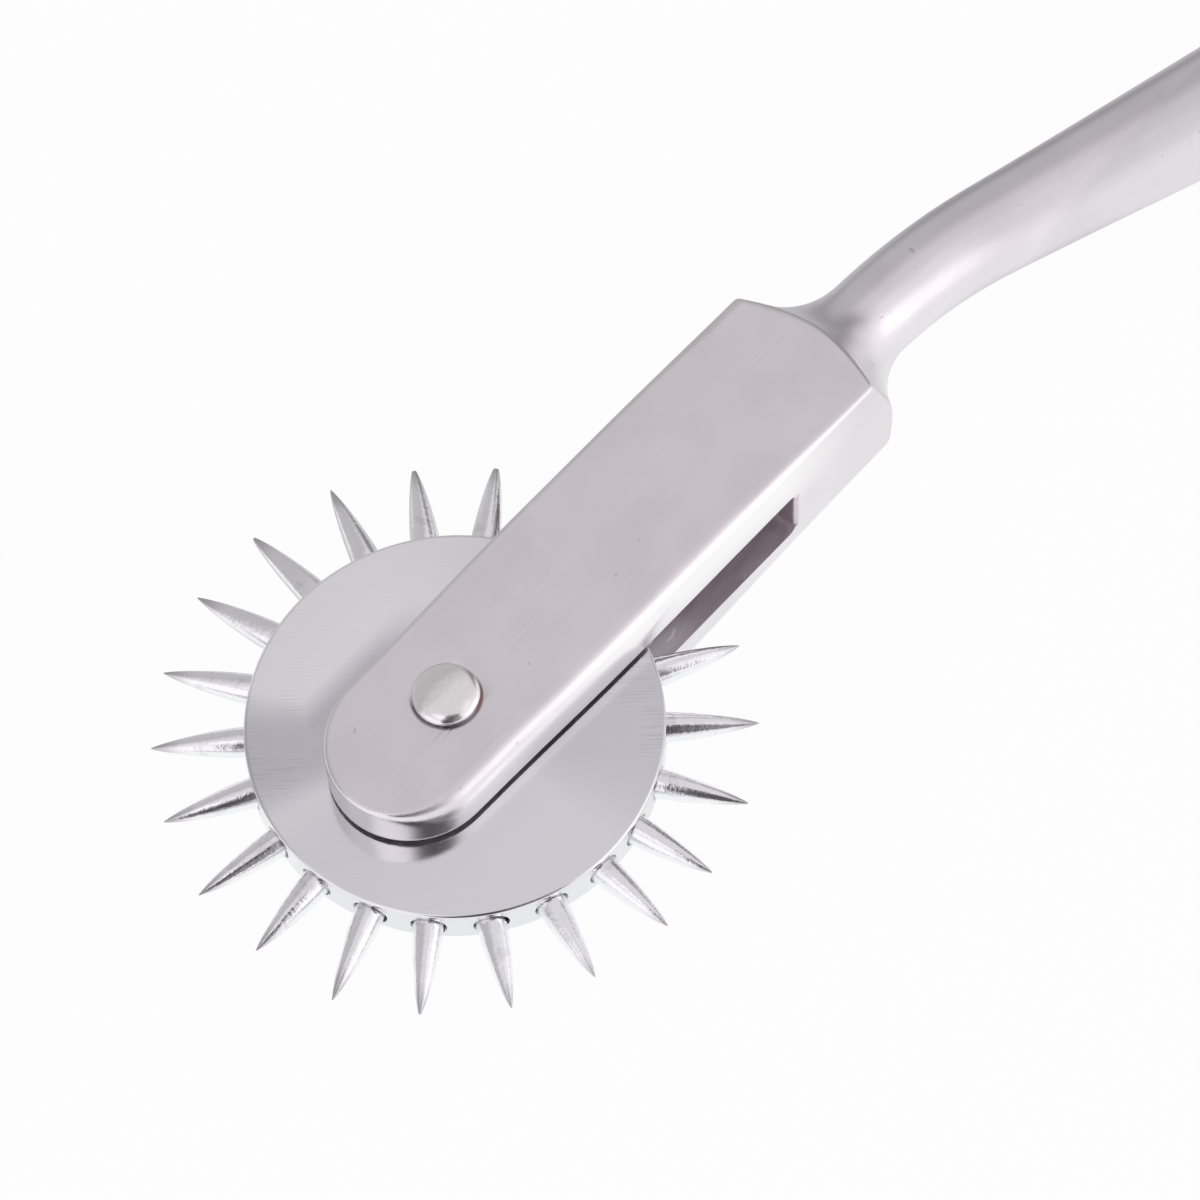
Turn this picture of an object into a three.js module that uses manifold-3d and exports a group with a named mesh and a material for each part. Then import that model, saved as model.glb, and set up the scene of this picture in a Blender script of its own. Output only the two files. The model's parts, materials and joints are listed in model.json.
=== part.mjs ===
// Neurological pinwheel: a wheel of steel pins that turns in the forked end of a slim,
// bent metal handle. Lengths are in millimetres. Until the last lines shift the whole,
// the origin is on the wheel's axle, midway between the cheeks. The wheel turns about Z,
// and the fork runs along X towards the handle.
import * as THREE from 'three';
import { mergeVertices } from 'three/addons/utils/BufferGeometryUtils.js';
import Module from 'manifold-3d';

// Wheel
const discDiameter = 20.84;
const discThickness = 2.4;
const discEdgeRadius = 0.25;
const pinCount = 22;
const firstPinAngle = THREE.MathUtils.degToRad(35.77);

// Pins, and the drilled and countersunk holes that they are driven into
const pinDiameter = 1.52;
const pinReach = 4.58;
const pinSeatDepth = 2.6;
const pinFit = 0.03;
const pinTaperPower = 1.65;
const countersinkLip = 0.13;
const countersinkDepth = 0.45;
const holeBottomRoom = 0.1;

// Rivet, and the spacing washers, of which the lower one is the thicker, so that the
// wheel stands a little nearer to the upper cheek
const rivetDiameter = 2.4;
const rivetHeadDiameter = 3.66;
const rivetHeadHeight = 0.7;
const rivetHeadWall = 0.22;
const rivetFit = 0.04;
const wheelPlay = 0.08;
const washerDiameter = 5.6;
const washerUpperThickness = 0.41;
const washerLowerThickness = 1.01;
const washerGap = 0.07;

// Fork
const forkWidth = 8.9;
const cheekThickness = 2.35;
const forkEdgeRadius = 0.4;
const earOverhang = 2.85;
const tipRoom = 5.75;
const slotEndBulge = 0.3;
const bridgeLength = 5.45;

// Neck and handle
const neckDiameter = 4.72;
const neckFilletRadius = 6.4;
const neckFilletSweep = THREE.MathUtils.degToRad(57);
const bendLead = 1.7;
const bendRadius = 30.8;
const bendSweep = THREE.MathUtils.degToRad(17);
const gripDiameter = 9.2;
const swellLength = 68;
const taperLength = 76;
const tailDiameter = 7;
const tailDomeLength = 3.4;
const shellWall = 0.9;
const spigotLength = 10;
const plugDepth = 7;
const seamGap = 0.05;

// Shares that shape the handle's outline: how long its curve stays level at each end,
// and where along the swelling the seam between neck and handle shell lies
const swellStartShare = 0.22;
const swellEndShare = 0.44;
const taperStartShare = 0.4;
const taperEndShare = 0.3;
const seamShare = 0.5;

// Facet counts
const discSides = 3 * pinCount;
const pinSides = 12;
const pinSteps = 5;
const rivetSides = 24;
const handleSides = 24;
const roundSteps = 3;
const discRoundSteps = 2;
const earSteps = 14;
const filletSteps = 6;
const neckSteps = 13;
const swellSteps = 7;
const taperSteps = 8;
const domeSteps = 4;

// How far each cutter runs past the face that it cuts
const overrun = 1;

// Sizes worked out from the ones above
const discRadius = discDiameter / 2;
const pinRadius = pinDiameter / 2;
const rivetRadius = rivetDiameter / 2;
const neckRadius = neckDiameter / 2;
const gripRadius = gripDiameter / 2;
const tailRadius = tailDiameter / 2;
const washersHeight = washerUpperThickness + washerLowerThickness + 4 * washerGap;
const slotHeight = discThickness + washersHeight;
const wheelRise = (washerLowerThickness - washerUpperThickness) / 2;
const forkThickness = slotHeight + 2 * cheekThickness;
const slotEnd = discRadius + pinReach + tipRoom;
const blockEnd = slotEnd + bridgeLength;
const blockCornerRadius = Math.hypot(forkWidth, forkThickness) / 2;
const filletEndRadius = neckRadius + neckFilletRadius * (1 - Math.cos(neckFilletSweep));
const filletEnd = blockEnd + (blockCornerRadius - filletEndRadius) / Math.tan(neckFilletSweep);
const neckStart = filletEnd + neckFilletRadius * Math.sin(neckFilletSweep);
const bendStart = neckStart - bendLead;
const bendEnd = bendStart + bendRadius * bendSweep;
const gripStart = neckStart + swellLength;
const tailStart = gripStart + taperLength;

// The handle's outline as two curves of (radius, distance along the handle): it swells
// from the neck to the grip, and tapers from there to the tail
const swell = new THREE.CubicBezierCurve(
  new THREE.Vector2(neckRadius, neckStart),
  new THREE.Vector2(neckRadius, neckStart + swellStartShare * swellLength),
  new THREE.Vector2(gripRadius, gripStart - swellEndShare * swellLength),
  new THREE.Vector2(gripRadius, gripStart),
);
const taper = new THREE.CubicBezierCurve(
  new THREE.Vector2(gripRadius, gripStart),
  new THREE.Vector2(gripRadius, gripStart + taperStartShare * taperLength),
  new THREE.Vector2(tailRadius, tailStart - taperEndShare * taperLength),
  new THREE.Vector2(tailRadius, tailStart),
);
const seam = swell.getPoint(seamShare);
const mouthRadius = seam.x - shellWall;
const tailMouthRadius = tailRadius - shellWall;

const materials = {
  satin: new THREE.MeshStandardMaterial({ color: 0xc4bec3, roughness: 0.35, metalness: 1 }),
  polished: new THREE.MeshStandardMaterial({ color: 0xc9c9d0, roughness: 0.2, metalness: 1 }),
  bright: new THREE.MeshStandardMaterial({ color: 0xd8d8dc, roughness: 0.12, metalness: 1 }),
  rivet: new THREE.MeshStandardMaterial({ color: 0xd6d2cf, roughness: 0.18, metalness: 1 }),
};

const wasm = await Module();
wasm.setup();

// Welds the corners that faces share, and leaves out triangles that lose their area by it
function welded(geometry) {
  const bare = geometry.clone();
  bare.deleteAttribute('normal');
  bare.deleteAttribute('uv');
  const joined = mergeVertices(bare);
  const corners = joined.index.array;
  const kept = [];
  for (let i = 0; i < corners.length; i += 3) {
    const [a, b, c] = corners.slice(i, i + 3);
    if (a !== b && b !== c && c !== a) kept.push(a, b, c);
  }
  joined.setIndex(kept);
  return joined;
}

function solidFrom(geometry) {
  const joined = welded(geometry);
  const vertProperties = new Float32Array(joined.attributes.position.array);
  const triVerts = new Uint32Array(joined.index.array);
  return new wasm.Manifold(new wasm.Mesh({ numProp: 3, vertProperties, triVerts }));
}

function geometryFrom(solid) {
  const { vertProperties, triVerts } = solid.getMesh();
  const geometry = new THREE.BufferGeometry();
  geometry.setAttribute('position', new THREE.BufferAttribute(vertProperties, 3));
  geometry.setIndex(new THREE.BufferAttribute(triVerts, 1));
  geometry.computeVertexNormals();
  return geometry;
}

// A profile of (radius, distance) points turned about Y, X or Z
function turnedAboutY(profile, sides) {
  return new THREE.LatheGeometry(profile, sides);
}

function turnedAboutX(profile, sides) {
  return turnedAboutY(profile, sides).rotateZ(-Math.PI / 2);
}

function turnedAboutZ(profile, sides) {
  return turnedAboutY(profile, sides).rotateX(Math.PI / 2);
}

// Points on an arc, from one angle over a sweep that may be negative
function arcPoints(centreX, centreY, radius, from, sweep, steps) {
  const points = [];
  for (let i = 0; i <= steps; i++) {
    const angle = from + (sweep * i) / steps;
    const x = centreX + radius * Math.cos(angle);
    const y = centreY + radius * Math.sin(angle);
    points.push(new THREE.Vector2(x, y));
  }
  return points;
}

// The part of a curve between two of its parameters
function curvePoints(curve, from, to, steps) {
  const points = [];
  for (let i = 0; i <= steps; i++) points.push(curve.getPoint(from + ((to - from) * i) / steps));
  return points;
}

// A plain round peg or drill along Z, as tall above the fork's middle plane as below it
function peg(radius, height) {
  return turnedAboutZ([
    new THREE.Vector2(0, -height / 2),
    new THREE.Vector2(radius, -height / 2),
    new THREE.Vector2(radius, height / 2),
    new THREE.Vector2(0, height / 2),
  ], rivetSides);
}

// Bends what lies past the bend's start: round an arc towards -Y, and straight after it
function bent(geometry) {
  const corners = geometry.attributes.position;
  for (let i = 0; i < corners.count; i++) {
    const along = corners.getX(i) - bendStart;
    if (along <= 0) continue;
    const angle = Math.min(along / bendRadius, bendSweep);
    const rest = along - angle * bendRadius;
    const reach = bendRadius + corners.getY(i);
    const x = bendStart + reach * Math.sin(angle) + rest * Math.cos(angle);
    const y = reach * Math.cos(angle) - bendRadius - rest * Math.sin(angle);
    corners.setXY(i, x, y);
  }
  return geometry;
}

// The turned blank of the fork head: a round bar that narrows by a flare and a fillet to
// the neck, swells towards the handle, and ends in the spigot that the shell sits on
function turnedBlank() {
  const blankRadius = blockCornerRadius + overrun;
  const spigotRadius = mouthRadius - seamGap;
  const blankStart = -(earOverhang + forkWidth / 2 + overrun);
  return turnedAboutX([
    new THREE.Vector2(0, blankStart),
    new THREE.Vector2(blankRadius, blankStart),
    new THREE.Vector2(blankRadius, blockEnd - overrun / Math.tan(neckFilletSweep)),
    ...arcPoints(neckRadius + neckFilletRadius, neckStart, neckFilletRadius,
      Math.PI + neckFilletSweep, -neckFilletSweep, filletSteps),
    ...curvePoints(swell, 0, seamShare, neckSteps).slice(1),
    new THREE.Vector2(spigotRadius, seam.y),
    new THREE.Vector2(spigotRadius, seam.y + spigotLength),
    new THREE.Vector2(0, seam.y + spigotLength),
  ], handleSides);
}

// The bar that the fork is milled to: a round-ended outline with rounded long edges
function millingBar() {
  const half = forkWidth / 2;
  const outline = new THREE.Shape();
  outline.moveTo(neckStart, -half);
  outline.lineTo(neckStart, half);
  outline.lineTo(-earOverhang, half);
  outline.absarc(-earOverhang, 0, half, Math.PI / 2, (3 * Math.PI) / 2, false);
  outline.closePath();
  const bar = new THREE.ExtrudeGeometry(outline, {
    depth: forkThickness - 2 * forkEdgeRadius,
    bevelThickness: forkEdgeRadius,
    bevelSize: forkEdgeRadius,
    bevelOffset: -forkEdgeRadius,
    bevelSegments: roundSteps,
    curveSegments: earSteps,
  });
  return bar.translate(0, 0, forkEdgeRadius - forkThickness / 2);
}

// The cutter for the slot between the cheeks, with its slightly hollow end
function slotCutter() {
  const half = slotHeight / 2;
  const start = -(earOverhang + forkWidth);
  const profile = new THREE.Shape();
  profile.moveTo(start, -half);
  profile.lineTo(slotEnd - slotEndBulge, -half);
  profile.quadraticCurveTo(slotEnd + slotEndBulge, 0, slotEnd - slotEndBulge, half);
  profile.lineTo(start, half);
  profile.closePath();
  const width = forkWidth + 2 * overrun;
  const cutter = new THREE.ExtrudeGeometry(profile, {
    depth: width,
    bevelEnabled: false,
    curveSegments: filletSteps,
  });
  return cutter.translate(0, 0, -width / 2).rotateX(Math.PI / 2);
}

function forkHead() {
  const reach = blockCornerRadius + 2 * overrun;
  const start = -(earOverhang + forkWidth);
  const wasteLength = neckStart - overrun - start;
  const surround = new THREE.BoxGeometry(wasteLength, 2 * reach, 2 * reach);
  surround.translate(start + wasteLength / 2, 0, 0);
  const waste = solidFrom(surround).subtract(solidFrom(millingBar()));
  const rivetHole = solidFrom(peg(rivetRadius + rivetFit, forkThickness + overrun));
  const head = solidFrom(bent(turnedBlank()))
    .subtract(waste)
    .subtract(solidFrom(slotCutter()))
    .subtract(rivetHole);
  return geometryFrom(head);
}

// The handle's shell, a tube that swells and tapers, open at its mouth and its tail
function handleShell() {
  const outside = [
    ...curvePoints(swell, seamShare, 1, swellSteps),
    ...curvePoints(taper, 0, 1, taperSteps).slice(1),
  ];
  const inside = outside.map((point) => new THREE.Vector2(point.x - shellWall, point.y));
  const ring = [...outside, ...inside.reverse(), outside[0]];
  return turnedAboutX(ring, handleSides);
}

// The plug that closes the shell's tail, with its rounded end
function tailPlug() {
  const face = tailStart + seamGap;
  const stemRadius = tailMouthRadius - seamGap;
  const dome = arcPoints(0, 0, 1, 0, Math.PI / 2, domeSteps);
  return turnedAboutX([
    new THREE.Vector2(0, face - plugDepth),
    new THREE.Vector2(stemRadius, face - plugDepth),
    new THREE.Vector2(stemRadius, face),
    ...dome.map((point) => new THREE.Vector2(tailRadius * point.x, face + tailDomeLength * point.y)),
  ], handleSides);
}

// The rivet: a shank through fork and wheel, and on each cheek a low head with a short
// upright wall and a domed top
function axleRivet() {
  const headRadius = rivetHeadDiameter / 2;
  const face = forkThickness / 2;
  const domeHeight = rivetHeadHeight - rivetHeadWall;
  const unitDome = arcPoints(0, 0, 1, 0, Math.PI / 2, domeSteps);
  const head = unitDome.map((point) => new THREE.Vector2(
    headRadius * point.x,
    face + rivetHeadWall + domeHeight * point.y,
  ));
  const upper = [
    new THREE.Vector2(rivetRadius, face),
    new THREE.Vector2(headRadius, face),
    ...head,
  ];
  const lower = upper.map((point) => new THREE.Vector2(point.x, -point.y)).reverse();
  return turnedAboutZ([...lower, ...upper], rivetSides);
}

function washer(thickness) {
  const half = thickness / 2;
  const bore = rivetRadius + wheelPlay;
  return turnedAboutZ([
    new THREE.Vector2(bore, -half),
    new THREE.Vector2(washerDiameter / 2, -half),
    new THREE.Vector2(washerDiameter / 2, half),
    new THREE.Vector2(bore, half),
    new THREE.Vector2(bore, -half),
  ], rivetSides);
}

// The drill for one pin's hole, along Y: a plain bore, a countersink at the rim
function pinDrill() {
  const bore = pinRadius + pinFit;
  const mouth = bore + countersinkLip;
  const bottom = discRadius - pinSeatDepth - holeBottomRoom;
  return turnedAboutY([
    new THREE.Vector2(0, bottom),
    new THREE.Vector2(bore, bottom),
    new THREE.Vector2(bore, discRadius - countersinkDepth),
    new THREE.Vector2(mouth, discRadius),
    new THREE.Vector2(mouth, discRadius + overrun),
    new THREE.Vector2(0, discRadius + overrun),
  ], pinSides);
}

function wheelDisc() {
  const half = discThickness / 2;
  const bore = rivetRadius + wheelPlay;
  const rimX = discRadius - discEdgeRadius;
  const rimY = half - discEdgeRadius;
  const plate = turnedAboutZ([
    new THREE.Vector2(bore, -half),
    ...arcPoints(rimX, -rimY, discEdgeRadius, -Math.PI / 2, Math.PI / 2, discRoundSteps),
    ...arcPoints(rimX, rimY, discEdgeRadius, 0, Math.PI / 2, discRoundSteps),
    new THREE.Vector2(bore, half),
    new THREE.Vector2(bore, -half),
  ], discSides);
  let disc = solidFrom(plate);
  for (let i = 0; i < pinCount; i++) {
    const drill = pinDrill().rotateZ((i * 2 * Math.PI) / pinCount);
    disc = disc.subtract(solidFrom(drill));
  }
  return geometryFrom(disc);
}

// One pin, along Y: a plain shank in its hole, and a point with slightly bellied sides
function wheelPin() {
  const point = [];
  for (let i = 0; i <= pinSteps; i++) {
    const share = i / pinSteps;
    const radius = pinRadius * (1 - share ** pinTaperPower);
    point.push(new THREE.Vector2(radius, discRadius + pinReach * share));
  }
  return turnedAboutY([
    new THREE.Vector2(0, discRadius - pinSeatDepth),
    new THREE.Vector2(pinRadius, discRadius - pinSeatDepth),
    ...point,
  ], pinSides);
}

function named(name, geometry, material) {
  const mesh = new THREE.Mesh(geometry, material.clone());
  mesh.name = name;
  return mesh;
}

// The wheel, turned so that its pins stand as they do at rest
const wheel = new THREE.Group();
wheel.position.z = wheelRise;
wheel.rotation.z = firstPinAngle - Math.PI / 2;
wheel.add(named('wheel_disc', wheelDisc(), materials.polished));
for (let i = 0; i < pinCount; i++) {
  const number = String(i + 1).padStart(2, '0');
  const pin = named(`pin_${number}`, wheelPin(), materials.bright);
  pin.rotation.z = (i * 2 * Math.PI) / pinCount;
  wheel.add(pin);
}

// The handle's straight part, in line with the end of the bend
const handle = new THREE.Group();
handle.position.x = bendStart + bendRadius * Math.sin(bendSweep);
handle.position.y = -bendRadius * (1 - Math.cos(bendSweep));
handle.rotation.z = -bendSweep;
const shell = named('handle_shell', handleShell(), materials.satin);
const plug = named('tail_plug', tailPlug(), materials.satin);
shell.position.x = seamGap - bendEnd;
plug.position.x = seamGap - bendEnd;
handle.add(shell, plug);

// The washers fill the slot above and below the wheel, but for their gaps
const washerUpper = named('washer_upper', washer(washerUpperThickness), materials.polished);
const washerLower = named('washer_lower', washer(washerLowerThickness), materials.polished);
washerUpper.position.z = (slotHeight - washerUpperThickness) / 2 - washerGap;
washerLower.position.z = (washerLowerThickness - slotHeight) / 2 + washerGap;

const pinwheel = new THREE.Group();
pinwheel.add(named('fork_head', forkHead(), materials.satin));
pinwheel.add(handle, wheel, washerUpper, washerLower);
pinwheel.add(named('axle_rivet', axleRivet(), materials.rivet));

// The origin goes to the middle of the space that the pinwheel takes up, at its foot
const space = new THREE.Box3().setFromObject(pinwheel, true);
pinwheel.position.x = -(space.min.x + space.max.x) / 2;
pinwheel.position.y = -(space.min.y + space.max.y) / 2;
pinwheel.position.z = -space.min.z;

export default pinwheel;
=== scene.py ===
import json
import math

import bmesh
import bpy
from mathutils import Matrix, Quaternion, Vector, geometry, noise


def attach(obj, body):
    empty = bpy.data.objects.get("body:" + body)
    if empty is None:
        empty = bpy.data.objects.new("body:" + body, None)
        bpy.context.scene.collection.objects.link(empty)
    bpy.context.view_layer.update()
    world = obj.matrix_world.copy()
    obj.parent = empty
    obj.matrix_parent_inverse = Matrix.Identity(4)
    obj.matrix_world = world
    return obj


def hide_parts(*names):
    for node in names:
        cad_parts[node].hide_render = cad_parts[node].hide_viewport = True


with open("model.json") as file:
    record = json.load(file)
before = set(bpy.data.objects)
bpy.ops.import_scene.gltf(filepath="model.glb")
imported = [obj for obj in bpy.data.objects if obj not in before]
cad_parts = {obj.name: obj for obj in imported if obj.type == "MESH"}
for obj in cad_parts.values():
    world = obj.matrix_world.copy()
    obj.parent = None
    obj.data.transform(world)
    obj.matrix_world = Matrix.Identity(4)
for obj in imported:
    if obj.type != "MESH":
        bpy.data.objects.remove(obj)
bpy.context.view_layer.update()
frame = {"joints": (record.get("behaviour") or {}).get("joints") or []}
WHEEL_RISE = 0.0003
WHEEL_CENTRE = Vector(frame["joints"][0]["pos_m"])
FORK_CENTRE = WHEEL_CENTRE - Vector((0, 0, WHEEL_RISE))

# Fork: the milled block, its slot and how its long edges are rounded
FORK_WIDTH = 0.0089
FORK_HEIGHT = 0.0088
EAR_CENTRE = -0.00285
SLOT_HEIGHT = 0.0039
SLOT_DROP = 0.0001
SLOT_END = 0.02047
SLOT_CORNER = 0.00045
SLOT_EDGE = 0.00004
MOUTH_ROUND = 0.00028
MOUTH_INSET = 0.0003
FACET_CUTTER = 0.002
LONG_EDGE = 0.0002
WORN_EDGE = 0.0005
WORN_FROM = 0.016
SOFT_EDGE_WIDTH = 0.00092
SOFT_EDGE_HEIGHT = 0.0015
SOFT_EDGE_FROM = 0.012
SOFT_EDGE_START = 0.3
SOFT_EDGE_LOSS = 0.7
LOW_EDGE = 0.0017
LOW_EDGE_FROM = 0.002
SHOULDER_EDGE = 0.00014
EAR_FILED_OFF = 0.00022
EAR_FILED_FROM = 0.009
RING_POINTS = 144
CORNER_CROWDING = 0.8
EAR_STEPS = 64
PLAIN_STEPS = 8
WORN_STEPS = 5
SHOULDER_STEPS = 44
FILLET_STEPS = 22

# Shoulder, neck and handle, as the solids have them
BLOCK_END = 0.02674
NECK_RADIUS = 0.00236
FLARE_RADIUS = 0.00425
FLARE_SWEEP = 60.8
FLARE_LEAN_UP = 7.3
FLARE_LEAN_SIDE = 4.3
FLARE_LEAN_FROM = 0.0205
FLARE_LEAN_POWER = 0.33
NECK_START = 0.03219
BEND_START = 0.03049
BEND_RADIUS = 0.0308
BEND_SWEEP = 17
GRIP_RADIUS = 0.0046
SWELL_LENGTH = 0.068
SWELL_EASE = (0.22, 0.44)
SWELL_POINTS = 65
SEAM_POINT = 32
TAPER_LENGTH = 0.076
TAPER_EASE = (0.4, 0.3)
TAPER_POINTS = 49
TAIL_RADIUS = 0.00345
TAIL_DOME = 0.00338
SHELL_WALL = 0.0009
SPIGOT_LENGTH = 0.01
PLUG_DEPTH = 0.007
SEAM_GAP = 0.00005
SEAM_EDGE = 0.00012
EDGE_MIDDLE = 0.3 * SEAM_EDGE
HANDLE_SIDES = 96
DOME_STEPS = 16

# Rivet and washers. The rings on the washers are in radians per metre.
RIVET_RADIUS = 0.0012
RIVET_BORE = 0.00124
HEAD_RADIUS = 0.00168
HEAD_HEIGHT = 0.0007
HEAD_EDGE = 0.3 * HEAD_HEIGHT
HEAD_EDGE_STEPS = 6
HEAD_FOOT = 0.00157
HEAD_SQUARENESS = 0.88
HEAD_STEPS = 20
HEAD_LUMPS = 0.00005
LUMPS_PER_METRE = 900
HEAD_SHIFT = Vector((-0.00012, 0.00026, 0))
WASHER_BORE = 0.00128
WASHER_RADIUS = 0.0028
WASHER_THICKNESSES = (0.00028, 0.00108)
WASHER_LEVELS = (0.001675, -0.001495)
WASHER_EDGE = 0.00006
WASHER_RINGS = 70000
RIVET_SIDES = 64

# Wheel. Blunt pins are given by number from 0, with the radius of their tips.
DISC_RADIUS = 0.01042
DISC_THICKNESS = 0.0024
DISC_EDGE = 0.00018
DISC_BORE = 0.00128
DISC_SIDES = 264
PIN_COUNT = 22
FIRST_PIN_ANGLE = 35.77
PIN_RADIUS = 0.00076
PIN_REACH = 0.00457
PIN_SEAT = 0.0026
PIN_TAPER_POWER = 1.55
PIN_TIP_FULLNESS = 0.55
PIN_TIP_RADIUS = 0.00003
BLUNT_PINS = {0: 0.00015, 1: 0.00012, 3: 0.00008, 11: 0.00007}
PIN_SIDES = 32
PIN_RINGS = 26
PIN_GRINDING = 0.000022
GRINDING_ACROSS = 900
GRINDING_ALONG = 260
GRINDING_SHIFT = 7
HOLE_ROOM = 0.00003
SINK_LIP = 0.00013
SINK_DEPTH = 0.0004

# How the real pins stand off an even spacing, in degrees at root and tip, and in length
PIN_ROOT_SLIPS = (-1.3, -1.3, -0.9, 0, 0.4, 0.6, 0.1, -0.9, -1.0, -1.4, -0.5,
                  -0.5, 0.1, 0.9, 1.8, 0, -1.4, -0.9, -0.5, 0.4, -0.3, 0.2)
PIN_TIP_SLIPS = (-1.1, -1.3, -1.0, 0.5, 0.5, 1.1, 0.6, -0.3, -0.2, -0.8, 0.2,
                 0.2, 0.9, 1.3, 2.1, -0.5, -1.0, -0.6, -0.2, 0.5, -0.4, 0.3)
PIN_REACH_SLIPS = (-0.00024, -0.00025, 0.00004, -0.00002, 0.00009, 0, 0.00009, 0.00003,
                   0.00012, -0.00002, 0.0003, 0, -0.00008, -0.00023, -0.00026, -0.00025,
                   -0.00006, 0, -0.0002, 0, 0.00004, -0.0001)

# Where painted shade and painted highlights, rust and wear lie. Pairs are a soft passage's start
# and end, and sides are directions from the middle of the wheel, the rivet's head or the ear.
# The ring of painted shade in the crevice round the rivet's head, and the side with real rust
CREVICE_SHADE_INSIDE = (0.00157, 0.00165)
CREVICE_SHADE_OUTSIDE = (0.00188, 0.00173)
CREVICE_SHADE_SIDE = 240
RUST_SIDE = -42
# Painted light on the fork's right flank above the slot, and painted shade on it by the shoulder
LIT_FLANK_ACROSS = (-0.0038, -0.0043)
LIT_FLANK_UP = (-0.0003, 0.0038)
SHADED_SHOULDER = (0.019, BLOCK_END)
EAR_WALL = (0.00405, 0.0043)
EAR_WALL_SIDE = 215
DISC_MARKS = (0.0064, 0.0092)
DISC_MARKS_SIDE = 138
DISC_MARKS_TURN = -47
# A band of painted shade on the disc beside the fork
SHADE_BAND_START = (-0.0075, -0.0045)
SHADE_BAND_END = (0.0048, -0.0005)
SHADE_BAND_MIDDLE = 0.0048
SHADE_BAND_EDGE = (0.0019, 0.0003)
# Sides of the disc's painted dark reflections and of its painted bright sheen
DARK_SHEEN_SIDE = 142
FAR_DARK_SHEEN_SIDE = 316
BRIGHT_SHEEN_SIDE = 100
PIN_TIP_ZONE = (0.0132, 0.0150)

# Camera, as an offset from the wheel's centre to the lens and to the point it aims at, and its
# focal length and sensor in millimetres
CAMERA_OFFSET = Vector((-0.07573, -0.08578, 0.24687))
CAMERA_AIM = Vector((0.01015, -0.00047, 0))
CAMERA_ROLL = -3.18
CAMERA_LENS = 165
CAMERA_SENSOR = 36
CAMERA_CLIP = (0.01, 10)

# The light tent: levels from its left side, 0, to its right side, 1, and spots in it, each as
# the direction it lies in, the cosines to its edge and its core, its share and its level
TENT_LEVELS = ((0, 0.56), (0.23, 0.50), (0.30, 0.62), (0.345, 0.76), (0.45, 0.73), (0.55, 0.74),
               (0.65, 0.82), (0.80, 1.0), (1, 1.0))
TENT_SPOTS = (((0.95, 0.03, 0.28), 0.86, 0.97, 0.85, 0.18),
              ((0.98, 0.16, 0.03), 0.95, 0.985, 0.8, 0.22),
              ((-0.93, -0.15, 0.33), 0.80, 0.97, 0.9, 1.15),
              ((0.88, -0.46, 0.05), 0.75, 0.95, 0.8, 1.05),
              ((0.48, -0.85, 0.2), 0.82, 0.95, 0.9, 1.15),
              ((-0.45, -0.04, 0.89), 0.975, 0.995, 0.8, 1.25),
              ((0.28, -0.32, 0.91), 0.975, 0.995, 0.9, 1.0),
              ((-0.26, -0.36, 0.9), 0.967, 0.995, 0.95, 0.05),
              ((-0.46, -0.45, 0.77), 0.975, 0.993, 0.9, 0.07),
              ((-0.27, -0.66, 0.7), 0.972, 0.992, 0.8, 0.12),
              ((-0.34, -0.82, 0.46), 0.97, 0.99, 0.8, 0.12),
              ((-0.62, -0.49, 0.62), 0.96, 0.985, 0.92, 0.06),
              ((-0.68, -0.63, 0.36), 0.94, 0.985, 0.92, 0.06))
TENT_RADIUS = 0.7
LAMP_DIRECTION = Vector((0.44, -0.83, 0.36))
LAMP_DISTANCE = 0.5
LAMP_SIZE = (0.36, 0.34)
LAMP_LEVEL = 0.3

# The floor's own glow, and the shade that the metal sees on it behind and left of the fork
FLOOR_RADIUS = 0.45
FLOOR_GLOW = 0.96
FLOOR_SHADE = 0.42
SHADE_DEEPENING = 0.8
SHADE_ALONG = (-0.012, 0.002)
SHADE_ACROSS = (0.003, 0.012)
SHADE_SWING_FROM = 0.02
SHADE_SWING_LENGTH = 0.022
SHADE_SWING = 0.6
DEEP_SHADE_ALONG = (0.034, 0.05)
DEEP_SHADE_ACROSS = (0.0075, 0.0105)

# How far cutters stand out of what they cut
OVERRUN = 0.001

# Tints that are added to a grey, and the colour of rust
MAUVE = (0.012, -0.016, 0.006)
SLOT_TINT = (0.03, -0.03, 0.0)
COOL = (-0.008, -0.004, 0.022)
WARM = (0.018, -0.004, -0.01)
RUST = (0.30, 0.13, 0.09, 1)


def smooth_step(low, high, value):
    """0 below low and 1 above high, with an even passage between."""
    share = min(max((value - low) / (high - low), 0), 1)
    return share * share * (3 - 2 * share)


def soft_minimum(a, b, blend):
    """The smaller of two lengths, with a rounded passage where they are nearly alike."""
    return (a + b - math.sqrt((a - b) ** 2 + blend ** 2)) / 2


def steps_between(start, end, count):
    """So many evenly spaced places after the start, the last of them at the end."""
    return [start + (end - start) * (i + 1) / count for i in range(count)]


def quarter_arc(centre, radius, start, steps):
    """Points on a quarter circle of (x, y) round centre, counter-clockwise from start."""
    turns = [math.radians(start + 90 * i / steps) for i in range(steps + 1)]
    return [(centre[0] + radius * math.cos(a), centre[1] + radius * math.sin(a)) for a in turns]


def turned(profile, sides):
    """The solid that a profile of (radius, height) points makes when spun about Z."""
    bm = bmesh.new()
    points = [bm.verts.new((radius, 0, height)) for radius, height in profile]
    line = [bm.edges.new(pair) for pair in zip(points, points[1:])]
    bmesh.ops.spin(bm, geom=points + line, cent=(0, 0, 0), axis=(0, 0, 1), dvec=(0, 0, 0),
                   angle=math.tau, steps=sides, use_merge=True)
    bmesh.ops.remove_doubles(bm, verts=bm.verts, dist=1e-7)
    bmesh.ops.dissolve_degenerate(bm, edges=bm.edges, dist=1e-8)
    bmesh.ops.recalc_face_normals(bm, faces=bm.faces)
    return bm


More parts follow.
